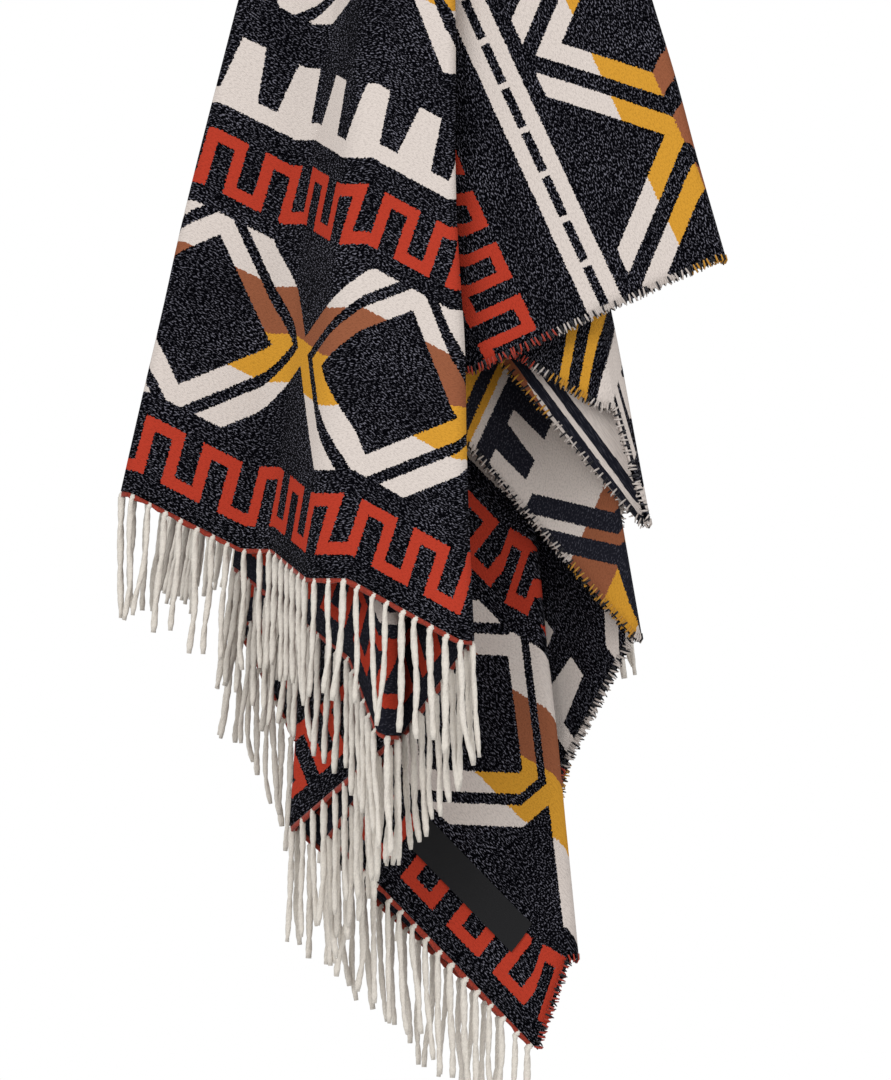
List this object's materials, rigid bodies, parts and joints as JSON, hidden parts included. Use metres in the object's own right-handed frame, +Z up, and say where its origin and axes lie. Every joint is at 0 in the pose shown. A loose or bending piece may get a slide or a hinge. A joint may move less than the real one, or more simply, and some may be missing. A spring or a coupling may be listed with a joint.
{
  "type": "hanging throw blanket",
  "caption": "Woven wool-like throw blanket hung in deep folds from one gathered point, with fringed ends, stitched side edges and a small sewn label",
  "frame": {"origin": "The point the blanket hangs from, at the top of its gathered tip", "axes": "+Z up, the blanket hangs down -Z, -Y is the side seen in the picture and +X is to its right"},
  "size_m": [0.339, 0.5364, 1.0533],
  "materials": {
    "cloth": "brushed double-woven wool-like cloth, dark ground with off-white, red, ochre and brown bands",
    "fringe": "twisted off-white yarn strands",
    "label": "black satin ribbon, bare"
  },
  "bodies": {
    "root": {"blanket": "cloth", "fringe_front": "fringe", "fringe_back": "fringe", "label": "label"}
  },
  "joints": []
}
